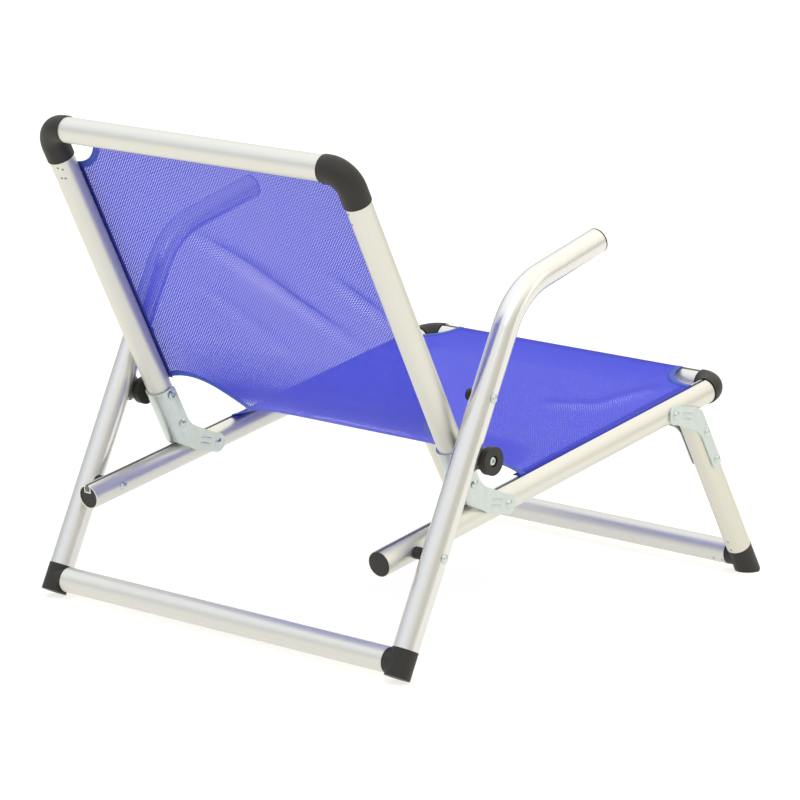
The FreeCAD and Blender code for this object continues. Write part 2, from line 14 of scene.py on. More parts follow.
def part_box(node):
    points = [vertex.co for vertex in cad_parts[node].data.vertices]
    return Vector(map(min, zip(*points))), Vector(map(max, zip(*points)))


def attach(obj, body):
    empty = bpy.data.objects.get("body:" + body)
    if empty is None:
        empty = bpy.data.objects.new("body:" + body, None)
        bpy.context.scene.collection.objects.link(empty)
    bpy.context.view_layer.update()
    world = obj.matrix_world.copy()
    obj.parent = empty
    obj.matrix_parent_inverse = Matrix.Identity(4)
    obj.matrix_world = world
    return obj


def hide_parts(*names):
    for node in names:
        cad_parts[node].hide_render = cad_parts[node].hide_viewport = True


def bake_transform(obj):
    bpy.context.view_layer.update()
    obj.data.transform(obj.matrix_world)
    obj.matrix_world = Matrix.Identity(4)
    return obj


MM = 0.001
SIDES = (("left", 1), ("right", -1))

# ---- the frame's own sizes, in metres and radians ---------------------------------------------
SEAT_SLOPE = radians(10.9)
BACK_ANGLE = radians(108.7)
FRONT_LEG_ANGLE = radians(-68.9)
REAR_LEG_ANGLE = radians(54.4)
TUBE_R = 15 * MM
HALF_WIDTH = 227 * MM
REAR_LEG_ALONG = 45 * MM
UPRIGHT_ALONG = 168 * MM
UPRIGHT_REACH = 472.9 * MM
FRONT_BAR_ALONG = 624 * MM

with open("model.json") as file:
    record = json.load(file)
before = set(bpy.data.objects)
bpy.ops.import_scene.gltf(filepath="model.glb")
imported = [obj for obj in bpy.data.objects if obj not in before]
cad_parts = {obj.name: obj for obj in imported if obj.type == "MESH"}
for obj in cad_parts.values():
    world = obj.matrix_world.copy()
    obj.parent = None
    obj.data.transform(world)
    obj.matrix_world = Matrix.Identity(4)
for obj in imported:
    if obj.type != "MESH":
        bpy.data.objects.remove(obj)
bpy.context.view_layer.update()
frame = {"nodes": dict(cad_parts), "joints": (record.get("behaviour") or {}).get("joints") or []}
nodes = frame["nodes"]
joints = {joint["name"]: joint for joint in frame["joints"]}

RAIL_DIR = Vector((0, -cos(SEAT_SLOPE), sin(SEAT_SLOPE)))
RAIL_OFF = Vector((0, sin(SEAT_SLOPE), cos(SEAT_SLOPE)))
RAIL_ORIGIN = Vector(joints["rear_leg_fold"]["pos_m"]) - RAIL_DIR * REAR_LEG_ALONG


def side_dir(angle):
    """A direction in the side plane, turned up from the seat rail's."""
    return RAIL_DIR * cos(angle) + RAIL_OFF * sin(angle)


BACK_DIR = side_dir(BACK_ANGLE)
BACK_FACE = side_dir(BACK_ANGLE - pi / 2)
BACK_ORIGIN = RAIL_ORIGIN + RAIL_DIR * UPRIGHT_ALONG


# ---- shader expressions -----------------------------------------------------------------------
class Value:
    """A number that a node gives, which Python's arithmetic turns into more nodes."""

    def __init__(self, finish, socket):
        self.finish = finish
        self.socket = socket

    def maths(self, operation, *others, clamp=False):
        return self.finish.node("ShaderNodeMath", {"operation": operation, "use_clamp": clamp},
                                [self, *others])

    def __add__(self, other):
        return self.maths("ADD", other)

    def __sub__(self, other):
        return self.maths("SUBTRACT", other)

    def __mul__(self, other):
        return self.maths("MULTIPLY", other)

    def __truediv__(self, other):
        return self.maths("DIVIDE", other)

    def __rsub__(self, other):
        return self.finish.node("ShaderNodeMath", {"operation": "SUBTRACT"}, [other, self])

    __radd__ = __add__
    __rmul__ = __mul__


class Finish:
    """A material whose nodes are made by one method."""

    def __init__(self, name, colour, roughness, metallic=0.0, gloss=0.5):
        self.material = bpy.data.materials.new(name)
        self.material.use_nodes = True
        self.tree = self.material.node_tree
        self.shader = self.tree.nodes["Principled BSDF"]
        self.set(Base_Color=(*colour, 1), Roughness=roughness, Metallic=metallic,
                 Specular_IOR_Level=gloss)

    def set(self, **sockets):
        """Give the shader's sockets their values or links."""
        for name, value in sockets.items():
            self.feed(self.shader.inputs[name.replace("_", " ")], value)

    def feed(self, socket, value):
        if isinstance(value, Value):
            self.tree.links.new(value.socket, socket)
        else:
            socket.default_value = value

    def node(self, kind, settings=None, inputs=(), output=0):
        """A node of this kind; inputs are a list in order, or a dictionary by name."""
        made = self.tree.nodes.new(kind)
        for name, value in (settings or {}).items():
            setattr(made, name, value)
        pairs = inputs.items() if isinstance(inputs, dict) else enumerate(inputs)
        for key, value in pairs:
            self.feed(made.inputs[key], value)
        return Value(self, made.outputs[output])

    def place(self, turn=(0, 0, 0), scale=(1, 1, 1), uv=False):
        """Where a point is on the piece, turned and then scaled."""
        source = self.node("ShaderNodeTexCoord", output="UV" if uv else "Object")
        turned = self.node("ShaderNodeMapping", {"vector_type": "TEXTURE"},
                           {"Vector": source, "Rotation": turn})
        return self.node("ShaderNodeVectorMath", {"operation": "MULTIPLY"}, [turned, scale])

    def split(self, vector):
        made = self.tree.nodes.new("ShaderNodeSeparateXYZ")
        self.feed(made.inputs[0], vector)
        return [Value(self, socket) for socket in made.outputs]

    def noise(self, place, scale, detail=3.0):
        return self.node("ShaderNodeTexNoise", {}, {"Vector": place, "Scale": scale, "Detail": detail})

    def mix(self, factor, first, second):
        """A colour between two colours."""
        return self.node("ShaderNodeMix", {"data_type": "RGBA"},
                         {0: factor, 6: (*first, 1), 7: (*second, 1)}, output=2)

    def spread(self, value, low, high):
        """Map 0..1 on to low..high."""
        return value * (high - low) + low

    def smooth(self, value, low, high):
        """0 below low, 1 above high, eased between them."""
        return self.node("ShaderNodeMapRange", {"interpolation_type": "SMOOTHSTEP"},
                         {"Value": value, "From Min": low, "From Max": high})

    def bump(self, height, distance, strength=1.0):
        normal = self.node("ShaderNodeBump", {}, {"Height": height, "Distance": distance,
                                                  "Strength": strength})
        self.set(Normal=normal)


# ---- finishes ---------------------------------------------------------------------------------
def tube_finish(name, turn, colour, low_rough, high_rough, streak, metallic=0.8):
    """Drawn and anodised aluminium, its fine streaks along the turned X axis."""
    finish = Finish(name, colour, low_rough, metallic=metallic)
    streaks = finish.noise(finish.place(turn, (3, 420, 420)), 1.0, 4.0)
    bands = finish.noise(finish.place(turn, (1.5, 120, 120)), 1.0, 2.0)
    cloud = finish.noise(finish.place(turn, (1, 1, 1)), 14.0, 4.0)
    finish.set(Roughness=finish.spread(streaks, low_rough, high_rough) + finish.spread(cloud, -0.02, 0.02),
               Base_Color=finish.mix(bands, [c * 0.94 for c in colour], colour))
    finish.bump(streaks, streak)
    return finish.material


def plastic_finish(name, colour):
    """Moulded plastic with a fine spark-eroded grain."""
    finish = Finish(name, colour, 0.45, gloss=0.3)
    place = finish.place()
    grain = finish.noise(place, 1600.0, 2.0)
    cloud = finish.noise(place, 40.0, 3.0)
    finish.set(Roughness=finish.spread(cloud, 0.42, 0.58),
               Base_Color=finish.mix(cloud, colour, [c * 1.4 for c in colour]))
    finish.bump(grain, 0.05 * MM, 0.6)
    return finish.material


def zinc_finish():
    """Bright zinc plate on pressed steel: soft cloudy spangle."""
    finish = Finish("zinc_plate", (0.74, 0.79, 0.79), 0.3, metallic=1.0)
    place = finish.place()
    spangle = finish.noise(place, 90.0, 3.0)
    fine = finish.noise(place, 900.0, 2.0)
    finish.set(Roughness=finish.spread(spangle, 0.22, 0.40),
               Base_Color=finish.mix(spangle, (0.48, 0.54, 0.53), (0.62, 0.68, 0.665)))
    finish.bump(fine, 0.03 * MM)
    return finish.material


WARP_PITCH = 3.5 * MM
WEFT_PITCH = 2.1 * MM
GAP_ACROSS = 0.30     # from a thread's middle to its edge, as a share of half the pitch
GAP_ALONG = 0.48
EDGE_BLUR = 0.20
TAPE_RIB = 1.1 * MM
DARK_BLUE = (0.034, 0.042, 0.52)
LIGHT_BLUE = (0.100, 0.116, 0.86)


def ripple(value):
    """0 at the middle of each thread, 1 at the middle of each gap."""
    return (value.maths("FRACT") - 0.5).maths("ABSOLUTE") * 2


def mesh_finish(name, is_open, depth=1.0):
    """Coated yarn woven with its rows of gaps stepped like bricks; a hem's layers show no gaps, and a depth
    below 1 darkens them as painted shade.
    """
    finish = Finish(name, LIGHT_BLUE, 0.5, gloss=0.10)
    across, along, _ = finish.split(finish.place(uv=True))
    row = (along / WEFT_PITCH).maths("FLOOR")
    step = row.maths("MODULO", 2.0) * 0.5
    warp = 1 - ripple(across / WARP_PITCH + step)
    weft = 1 - ripple(along / WEFT_PITCH)
    gap = (finish.smooth(warp, GAP_ACROSS, GAP_ACROSS + EDGE_BLUR)
           * finish.smooth(weft, GAP_ALONG, GAP_ALONG + EDGE_BLUR))
    yarn = (1 - warp).maths("MAXIMUM", 1 - weft)
    tone = finish.noise(finish.place(), 26.0, 4.0)
    slub = finish.noise(finish.place(scale=(90, 900, 900)), 1.0, 2.0)
    shade = (yarn * 0.55 + tone * 0.25 + slub * 0.2).maths("MULTIPLY", 1.0, clamp=True)
    if is_open:
        finish.set(Alpha=1 - gap)
    # depth below 1 darkens both blues: painted shade on the hems
    finish.set(Base_Color=finish.mix(shade, [c * depth for c in DARK_BLUE], [c * depth for c in LIGHT_BLUE]),
               Roughness=finish.spread(tone, 0.45, 0.56))
    finish.bump(yarn - gap * 0.5, 0.12 * MM)
    return finish.material


def tape_finish():
    """Woven binding tape with a fine rib across it."""
    finish = Finish("binding_tape", (0.05, 0.11, 0.62), 0.6)
    _, along, _ = finish.split(finish.place(uv=True))
    rib = ripple(along / TAPE_RIB)
    tone = finish.noise(finish.place(), 60.0, 3.0)
    finish.set(Base_Color=finish.mix(tone, (0.024, 0.060, 0.36), (0.050, 0.115, 0.56)),
               Roughness=finish.spread(rib, 0.5, 0.7))
    finish.bump(rib, 0.12 * MM)
    return finish.material


def thread_finish():
    """Twisted polyester sewing thread."""
    finish = Finish("sewing_thread", (0.02, 0.03, 0.25), 0.5)
    twist = finish.noise(finish.place(), 900.0, 2.0)
    finish.set(Base_Color=finish.mix(twist, (0.016, 0.022, 0.20), (0.03, 0.04, 0.34)))
    return finish.material


def turn_about_x(angle):
    """The rotation that lays a Mapping node's X axis along a side-plane direction."""
    direction = side_dir(angle)
    sideways = Vector((1, 0, 0))
    return Matrix((direction, sideways, direction.cross(sideways))).transposed().to_euler()


FLAT = (0, 0, 0)
SATIN = (0.69, 0.685, 0.635)
# the front legs' satin, darker and warmer: painted shade and a painted warm reflection
SHADED_WARM_SATIN = (0.68, 0.665, 0.585)
POLISHED = (0.72, 0.715, 0.695)
GRAIN = 0.012 * MM
finishes = {
    "rail": tube_finish("rail_anodised", turn_about_x(0), SATIN, 0.34, 0.46, GRAIN),
    "upright": tube_finish("upright_anodised", turn_about_x(BACK_ANGLE), SATIN, 0.38, 0.50, GRAIN),
    "bar": tube_finish("bar_anodised", FLAT, SATIN, 0.36, 0.48, GRAIN, 0.7),
    "front_leg": tube_finish("front_leg_anodised_painted_shade", turn_about_x(FRONT_LEG_ANGLE), SHADED_WARM_SATIN, 0.40, 0.52, GRAIN),
    "rear_leg": tube_finish("rear_leg_polished", turn_about_x(REAR_LEG_ANGLE), POLISHED, 0.18, 0.32,
                            2 * GRAIN, 0.92),
    "black": plastic_finish("black_plastic", (0.020, 0.019, 0.017)),
    "zinc": zinc_finish(),
    # grey discs on the tubes: painted shade inside the crimp dents
    "crimp_painted_shade": plastic_finish("crimp_shadow", (0.22, 0.215, 0.20)),
    "weave": mesh_finish("sling_weave", True),
    # the hems' darker copy of the weave is painted shade
    "hem_weave_painted_shade": mesh_finish("hem_weave_painted_shade", False, 0.62),
    "tape": tape_finish(),
    "thread": thread_finish(),
    "cord": plastic_finish("cord_jacket", (0.03, 0.04, 0.16)),
}

NODE_FINISH = (
    ("rivets", "zinc"), ("bolts", "zinc"), ("studs", "zinc"), ("bracket", "zinc"), ("foot", "black"),
    ("elbow", "black"), ("seat_rail", "rail"), ("back_upright", "upright"), ("seat_front_bar", "bar"),
    ("back_top_bar", "bar"), ("cross_bar", "bar"), ("front_leg", "front_leg"), ("rear_leg", "rear_leg"),
    ("keder", "cord"), ("sling", "weave"),
)


def finish_nodes():
    for name, node in nodes.items():
        kind = next((finish for key, finish in NODE_FINISH if key in name), "black")
        node.data.materials.clear()
        node.data.materials.append(finishes[kind])


# ---- the sling's surface ----------------------------------------------------------------------
SHEET_LEVEL = 16.1 * MM
SHEET_T = 0.35 * MM
MIDDLE_TANGENT = 157 * MM     # corner to where the curve starts, in the middle of the sling
SIDE_TANGENT = 84 * MM        # and at its hems
HALF_TURN = (pi - BACK_ANGLE) / 2
MEET = SHEET_LEVEL * tan(HALF_TURN)
SEAT_Q = FRONT_BAR_ALONG - UPRIGHT_ALONG - MEET
END_Q = SEAT_Q + UPRIGHT_REACH - MEET
SEAT_NOTCH = 49 * MM
BACK_NOTCH = 59 * MM
NOTCH_HALF = 177 * MM
SEAT_HEM_END = 375 * MM
BACK_HEM_END = 534 * MM
DEEPEST_Q = 468 * MM
OPENING_DEPTH = 66 * MM
HEM_TUCK = 2.5 * MM           # the sheet's edge to the tube's axis, where a hem takes over
EDGE_HALF = HALF_WIDTH - HEM_TUCK

# soft ridges: from (x, q), to (x, q), height
CREASES = (
    ((0.100, 0.780), (-0.135, 0.632), 4.5 * MM),
    ((0.060, 0.765), (-0.060, 0.700), 2.0 * MM),
    ((-0.110, 0.740), (-0.195, 0.675), 3.5 * MM),
    ((0.110, 0.700), (-0.020, 0.600), 1.6 * MM),
    ((-0.095, 0.175), (-0.180, 0.150), 1.8 * MM),
    ((-0.165, 0.160), (-0.190, 0.070), 2.0 * MM),
)
CREASE_WIDTH = 10 * MM


def crease_lift(x, q):
    """How far the soft ridges raise the sheet."""
    lift = 0.0
    for (x0, q0), (x1, q1), height in CREASES:
        length = hypot(x1 - x0, q1 - q0)
        along = ((x - x0) * (x1 - x0) + (q - q0) * (q1 - q0)) / length
        off = ((x - x0) * (q1 - q0) - (q - q0) * (x1 - x0)) / length
        share = along / length
        if 0 < share < 1:
            ease = sin(pi * share)
            lift += height * ease / (1 + (off / CREASE_WIDTH) ** 4)
    return lift


def sheet_point(x, q, lift=0.0):
    """A point on the sling, whose middle cuts the corner more than its sides do."""
    share = min(1.0, abs(x) / HALF_WIDTH) ** 8
    tangent = MIDDLE_TANGENT + (SIDE_TANGENT - MIDDLE_TANGENT) * share
    level = SHEET_LEVEL + lift
    if q <= SEAT_Q - tangent:
        side = RAIL_ORIGIN + RAIL_DIR * (FRONT_BAR_ALONG - q) + RAIL_OFF * level
    elif q <= SEAT_Q + tangent:
        radius = tangent / tan(HALF_TURN)
        turn = (q - SEAT_Q + tangent) / tangent * HALF_TURN
        centre = (RAIL_ORIGIN + RAIL_DIR * (FRONT_BAR_ALONG - SEAT_Q + tangent)
                  + RAIL_OFF * (SHEET_LEVEL + radius))
        side = centre + side_dir(-pi / 2 - turn) * (radius - lift)
    else:
        side = BACK_ORIGIN + BACK_DIR * (q - SEAT_Q + MEET) + BACK_FACE * level
    return side + Vector((x, 0, 0))


def sheet_normal(x, q):
    step = 0.5 * MM
    over_x = sheet_point(x + step, q) - sheet_point(x - step, q)
    over_q = sheet_point(x, q + step) - sheet_point(x, q - step)
    return over_x.cross(over_q).normalized()


def notch_half(share):
    """Half width in a corner notch: share is 0 at the bar and 1 at the side hem."""
    return NOTCH_HALF + (HALF_WIDTH - NOTCH_HALF) * (1 - max(0.0, 1 - share ** 2.1) ** (1 / 2.1))


def opening_depth(q):
    """How far the free edge between seat and back is cut in."""
    if q < DEEPEST_Q:
        reach, power = DEEPEST_Q - SEAT_HEM_END, 1.7
    else:
        reach, power = BACK_HEM_END - DEEPEST_Q, 2.4
    share = min(1.0, abs(q - DEEPEST_Q) / reach)
    return OPENING_DEPTH * (1 - share ** power) ** (1 / power)


def half_width(q):
    if q < SEAT_NOTCH:
        return min(EDGE_HALF, notch_half(q / SEAT_NOTCH))
    if q > END_Q - BACK_NOTCH:
        return min(EDGE_HALF, notch_half((END_Q - q) / BACK_NOTCH))
    if SEAT_HEM_END < q < BACK_HEM_END:
        return min(EDGE_HALF, HALF_WIDTH - opening_depth(q))
    return EDGE_HALF


def spread_values(low, high, step):
    count = max(1, round((high - low) / step))
    return [low + (high - low) * i / count for i in range(count + 1)]


def crowded(low, high, count):
    """Values from low to high that crowd together at the high end."""
    return [low + (high - low) * sin(pi / 2 * i / count) for i in range(1, count + 1)]


def sheet_rows():
    back_start = END_Q - BACK_NOTCH
    rows = [0.0] + crowded(0, SEAT_NOTCH, 9)
    rows += spread_values(SEAT_NOTCH, SEAT_HEM_END, 8 * MM)[1:]
    rows += sorted(crowded(DEEPEST_Q, SEAT_HEM_END, 18))[1:] + [DEEPEST_Q]
    rows += crowded(DEEPEST_Q, BACK_HEM_END, 16)
    rows += spread_values(BACK_HEM_END, back_start, 8 * MM)[1:]
    rows += sorted(crowded(END_Q, back_start, 11))[1:] + [END_Q]
    return rows


# ---- mesh helpers -----------------------------------------------------------------------------
def new_piece(name, mesh, finish):
    """An object at the origin from a finished bmesh."""
    data = bpy.data.meshes.new(name)
    mesh.to_mesh(data)
    mesh.free()
    for face in data.polygons:
        face.use_smooth = True
    data.materials.append(finishes[finish])
    piece = bpy.data.objects.new(name, data)
    bpy.context.collection.objects.link(piece)
    return piece


def thicken(piece, thickness):
    made = piece.modifiers.new("thickness", "SOLIDIFY")
    made.thickness = thickness
    made.offset = 0


def skin(rings, runs, closed, caps=False):
    """Faces between rings of points; UV is the way round a ring and the run along the piece."""
    mesh = bmesh.new()
    uv_layer = mesh.loops.layers.uv.new("weave")
    made = [[mesh.verts.new(point) for point in ring] for ring in rings]
    around = [0.0]
    for first, second in zip(rings[0], rings[0][1:]):
        around.append(around[-1] + (Vector(second) - Vector(first)).length)
    count = len(rings[0])
    for i in range(len(rings) - 1):
        for j in range(count if closed else count - 1):
            k = (j + 1) % count
            face = mesh.faces.new((made[i][j], made[i][k], made[i + 1][k], made[i + 1][j]))
            places = ((around[j], runs[i]), (around[k], runs[i]),
                      (around[k], runs[i + 1]), (around[j], runs[i + 1]))
            for loop, place in zip(face.loops, places):
                loop[uv_layer].uv = place
    if caps:
        mesh.faces.new(list(reversed(made[0])))
        mesh.faces.new(made[-1])
    bmesh.ops.recalc_face_normals(mesh, faces=mesh.faces)
    return mesh


# ---- sling pieces -----------------------------------------------------------------------------
def make_sheet():
    """The whole sling as one grid that narrows at its notches and its side openings."""
    rows = sheet_rows()
    shares = spread_values(-1, 1, 1 / 34)
    mesh = bmesh.new()
    uv_layer = mesh.loops.layers.uv.new("weave")
    places = {}
    grid = []
    for q in rows:
        width = half_width(q)
        line = []
        for share in shares:
            x = share * width
            vertex = mesh.verts.new(sheet_point(x, q, crease_lift(x, q)))
            places[vertex] = (x, q)
            line.append(vertex)
        grid.append(line)
    for near, far in zip(grid, grid[1:]):
        for j in range(len(shares) - 1):
            face = mesh.faces.new((near[j], near[j + 1], far[j + 1], far[j]))
            for loop in face.loops:
                loop[uv_layer].uv = places[loop.vert]
    bmesh.ops.recalc_face_normals(mesh, faces=mesh.faces)
    sheet = new_piece("sling_sheet", mesh, "weave")
    thicken(sheet, SHEET_T)
    return sheet


CORD_SEAT = 9.9 * MM
HEM_LOOP_R = 2.6 * MM
HEM_REACH = 11 * MM
HEM_T = 0.4 * MM
# a hem's section: inward from the tube's axis, and up from it
HEM_UNDER = ((HEM_REACH, 15.45 * MM), (6 * MM, 15.45 * MM), (2.4 * MM, 15.42 * MM),
             (1.2 * MM, 15.1 * MM), (0.85 * MM, 14.2 * MM), (0.8 * MM, 12.9 * MM))
HEM_OVER = ((-0.8 * MM, 12.9 * MM), (-0.75 * MM, 14.3 * MM), (-0.3 * MM, 15.4 * MM),
            (0.8 * MM, 16.0 * MM), (2.0 * MM, 16.1 * MM), (3.6 * MM, 16.1 * MM))


def hem_section():
    """Under-layer, the loop round the cord, and the top layer that joins the sheet."""
    loop = []
    for step in range(13):
        angle = radians(65 - 310 * step / 12)
        loop.append((HEM_LOOP_R * cos(angle), CORD_SEAT + HEM_LOOP_R * sin(angle)))
    return [*HEM_UNDER, *loop, *HEM_OVER]


def make_hem(name, start, direction, length, inward, face, body):
    """One hem along a straight tube."""
    rings = []
    runs = [0.0, length]
    for run in runs:
        base = start + direction * run
        rings.append([base + inward * s + face * h for s, h in hem_section()])
    hem = new_piece(name, skin(rings, runs, closed=False), "hem_weave_painted_shade")
    thicken(hem, HEM_T)
    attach(hem, body)
    return hem


# the tape's section: inward from the sheet's edge, and above the sheet
TAPE_SECTION = ((7.6 * MM, 0.62 * MM), (4.0 * MM, 0.80 * MM), (0.4 * MM, 0.78 * MM), (-0.6 * MM, 0.4 * MM),
                (-0.6 * MM, -0.4 * MM), (0.4 * MM, -0.78 * MM), (4.0 * MM, -0.80 * MM),
                (7.6 * MM, -0.62 * MM))


def edge_frames(path, turn):
    """Place, inward direction and normal at each (x, q) of an edge."""
    points = [sheet_point(x, q) for x, q in path]
    frames = []
    for i, (x, q) in enumerate(path):
        tangent = (points[min(i + 1, len(path) - 1)] - points[max(i - 1, 0)]).normalized()
        normal = sheet_normal(x, q)
        frames.append((points[i], normal.cross(tangent) * turn, normal))
    return frames


def runs_of(points):
    runs = [0.0]
    for first, second in zip(points, points[1:]):
        runs.append(runs[-1] + (second - first).length)
    return runs


def make_tape(name, path, turn):
    """Binding folded over an edge of the sheet."""
    frames = edge_frames(path, turn)
    rings = [[place + inward * s + normal * h for s, h in TAPE_SECTION] for place, inward, normal in frames]
    return new_piece(name, skin(rings, runs_of([f[0] for f in frames]), closed=True, caps=True), "tape")


STITCH = 3.2 * MM
STITCH_PITCH = 4.6 * MM
STITCH_R = 0.35 * MM
SEAM_INSETS = (6.5 * MM, 9.5 * MM)
SEAM_STEP = 20 * MM
TAPE_SEAM_INSET = 5.6 * MM
TAPE_SEAM_LEVEL = 0.85 * MM


def add_stitches(mesh, points, normals):
    """A row of short threads along a line, each an eight-sided bead."""
    runs = runs_of(points)
    count = int(runs[-1] / STITCH_PITCH)
    spot = 0
    for i in range(count):
        run = (i + 0.5) * runs[-1] / count
        while spot < len(runs) - 2 and runs[spot + 1] < run:
            spot += 1
        share = (run - runs[spot]) / (runs[spot + 1] - runs[spot])
        place = points[spot].lerp(points[spot + 1], share)
        along = (points[spot + 1] - points[spot]).normalized()
        up = normals[spot]
        side = along.cross(up)
        middle = [mesh.verts.new(place + side * (STITCH_R * a) + up * (STITCH_R * b))
                  for a, b in ((1, 0), (0, 1), (-1, 0), (0, -1))]
        for end in (-1, 1):
            tip = mesh.verts.new(place + along * (STITCH / 2 * end) - up * (STITCH_R / 2))
            for a, b in zip(middle, middle[1:] + middle[:1]):
                mesh.faces.new((a, b, tip) if end > 0 else (b, a, tip))


def seam_rows():
    """Each seam on the sheet's top: its (x, q) points and its name."""
    rows = {"seat": [], "back": []}
    for inset in SEAM_INSETS:
        for _, side in SIDES:
            x = side * (HALF_WIDTH - inset)
            rows["seat"].append([(x, q) for q in spread_values(SEAT_NOTCH, SEAT_HEM_END, SEAM_STEP)])
            rows["back"].append([(x, q) for q in spread_values(BACK_HEM_END, END_Q - BACK_NOTCH, SEAM_STEP)])
        width = spread_values(-NOTCH_HALF, NOTCH_HALF, SEAM_STEP)
        rows["seat"].append([(x, inset) for x in width])
        rows["back"].append([(x, END_Q - inset) for x in width])
    return rows


def make_seams():
    pieces = []
    lift = SHEET_T / 2 + STITCH_R * 0.4
    for name, lines in seam_rows().items():
        mesh = bmesh.new()
        for line in lines:
            for face in (1, -1):
                normals = [sheet_normal(x, q) * face for x, q in line]
                level = lift if face > 0 else lift + 2.4 * HEM_T
                points = [sheet_point(x, q) + n * level for (x, q), n in zip(line, normals)]
                add_stitches(mesh, points, normals)
        bmesh.ops.recalc_face_normals(mesh, faces=mesh.faces)
        seam = new_piece(name + "_hem_stitches", mesh, "thread")
        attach(seam, "seat_frame" if name == "seat" else "backrest")
        pieces.append(seam)
    return pieces


def notch_path(side, at_seat):
    notch = SEAT_NOTCH if at_seat else BACK_NOTCH
    path = []
    for i in range(25):
        share = sin(pi / 2 * i / 24)
        q = notch * share
        path.append((side * min(EDGE_HALF + 1 * MM, notch_half(share)), q if at_seat else END_Q - q))
    path.append((side * (HALF_WIDTH - 0.5 * MM), path[-1][1]))
    return path


def opening_path(side):
    rows = sorted(crowded(DEEPEST_Q, SEAT_HEM_END, 24)) + [DEEPEST_Q] + crowded(DEEPEST_Q, BACK_HEM_END, 22)
    return [(side * min(HALF_WIDTH - 0.5 * MM, HALF_WIDTH - opening_depth(q)), q) for q in rows]


def make_tapes():
    """Binding on the four notches and the two side openings, with its stitching."""
    tapes = []
    for name, side in SIDES:
        for place, path, turn in (("seat_notch", notch_path(side, True), side),
                                  ("back_notch", notch_path(side, False), -side),
                                  ("opening", opening_path(side), side)):
            tape = make_tape(place + "_tape_" + name, path, turn)
            mesh = bmesh.new()
            frames = edge_frames(path, turn)
            for face in (1, -1):
                points = [spot + inward * TAPE_SEAM_INSET + normal * (face * TAPE_SEAM_LEVEL)
                          for spot, inward, normal in frames]
                add_stitches(mesh, points, [normal * face for _, _, normal in frames])
            bmesh.ops.recalc_face_normals(mesh, faces=mesh.faces)
            seam = new_piece(place + "_stitches_" + name, mesh, "thread")
            for piece in (tape, seam):
                if place == "opening":
                    blend_over_fold(piece)
                else:
                    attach(piece, "seat_frame" if place == "seat_notch" else "backrest")
                tapes.append(piece)
    return tapes


def blend_over_fold(piece):
    tuple(sheet_point(0, SEAT_HEM_END))
    tuple(sheet_point(0, BACK_HEM_END))
    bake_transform(piece)


def make_sling():
    sheet = make_sheet()
    blend_over_fold(sheet)
    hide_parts("sling_seat", "sling_fold", "sling_back")
    pieces = []
    for name, side in SIDES:
        inward = Vector((-side, 0, 0))
        edge = Vector((side * HALF_WIDTH, 0, 0))
        seat_start = RAIL_ORIGIN + RAIL_DIR * (FRONT_BAR_ALONG - SEAT_HEM_END) + edge
        pieces.append(make_hem("seat_hem_" + name, seat_start, RAIL_DIR, SEAT_HEM_END - SEAT_NOTCH,
                               inward, RAIL_OFF, "seat_frame"))
        back_start = BACK_ORIGIN + BACK_DIR * (BACK_HEM_END - SEAT_Q + MEET) + edge
        pieces.append(make_hem("back_hem_" + name, back_start, BACK_DIR, END_Q - BACK_NOTCH - BACK_HEM_END,
                               inward, BACK_FACE, "backrest"))
    across = Vector((1, 0, 0))
    corner = Vector((-NOTCH_HALF, 0, 0))
    front = RAIL_ORIGIN + RAIL_DIR * FRONT_BAR_ALONG + corner
    top = BACK_ORIGIN + BACK_DIR * UPRIGHT_REACH + corner
    pieces.append(make_hem("seat_hem_front", front, across, 2 * NOTCH_HALF,
                           -RAIL_DIR, RAIL_OFF, "seat_frame"))
    pieces.append(make_hem("back_hem_top", top, across, 2 * NOTCH_HALF,
                           -BACK_DIR, BACK_FACE, "backrest"))
    pieces += make_seams() + make_tapes()
    return sheet, pieces


def declare_sling(sheet, pieces):
    """Works out the panel's area less the notches and side openings, and keeps nothing of it."""
    steps = spread_values(0, END_Q, 2 * MM)
    area = sum(2 * half_width(q) for q in steps) / len(steps) * END_Q


# ---- fittings ---------------------------------------------------------------------------------
EAR_OUT = 17.3 * MM           # a bracket's outer face from its tube's axis
RIB_TURN = radians(137)       # the ribs' direction from the tube's square
RIB_START = 14 * MM           # from the eye
RIB_LENGTH = 17 * MM
RIB_R = 1.5 * MM
RIB_SPREAD = 3.4 * MM
SHANK_R = 3.42 * MM
HEAD_R = 5.4 * MM
SOCKET_R = 2.5 * MM
ROLLER_RECESS_FACE = 282.9 * MM
HEAD_FACE = 286.6 * MM
CRIMP_R = 1.5 * MM
CRIMP_SINK = 0.2 * MM
CRIMP_DEPTH = 0.7 * MM
BOLT_CLEARANCE = 0.1 * MM
INNER_HEAD_HEIGHT = 3.2 * MM
CAP_R = 14.4 * MM
CAP_DEPTH = 1.6 * MM
CAP_SEAT = 0.4 * MM


def deselect():
    bpy.ops.object.select_all(action="DESELECT")


def finish_piece(piece, name, finish, body):
    """Name a modelled piece, settle its place in its mesh, and let it ride."""
    deselect()
    piece.select_set(True)
    bpy.context.view_layer.objects.active = piece
    bpy.ops.object.transform_apply(location=True, rotation=True, scale=True)
    bpy.ops.object.shade_smooth_by_angle(angle=radians(35))
    piece.name = name
    piece.data.name = name
    piece.data.materials.clear()
    piece.data.materials.append(finishes[finish])
    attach(piece, body)
    return piece


def turned(place, direction, radius, depth, vertices=40, round_over=0.0, segments=3):
    """A cylinder along a direction, its rims rounded over."""
    deselect()
    direction = Vector(direction)
    bpy.ops.mesh.primitive_cylinder_add(vertices=vertices, radius=radius, depth=depth, location=place,
                                        rotation=direction.to_track_quat("Z", "Y").to_euler())
    made = bpy.context.object
    if round_over:
        bevel = made.modifiers.new("round_over", "BEVEL")
        bevel.width = round_over
        bevel.segments = segments
        bevel.limit_method = "ANGLE"
        bpy.ops.object.modifier_apply(modifier=bevel.name)
    return made


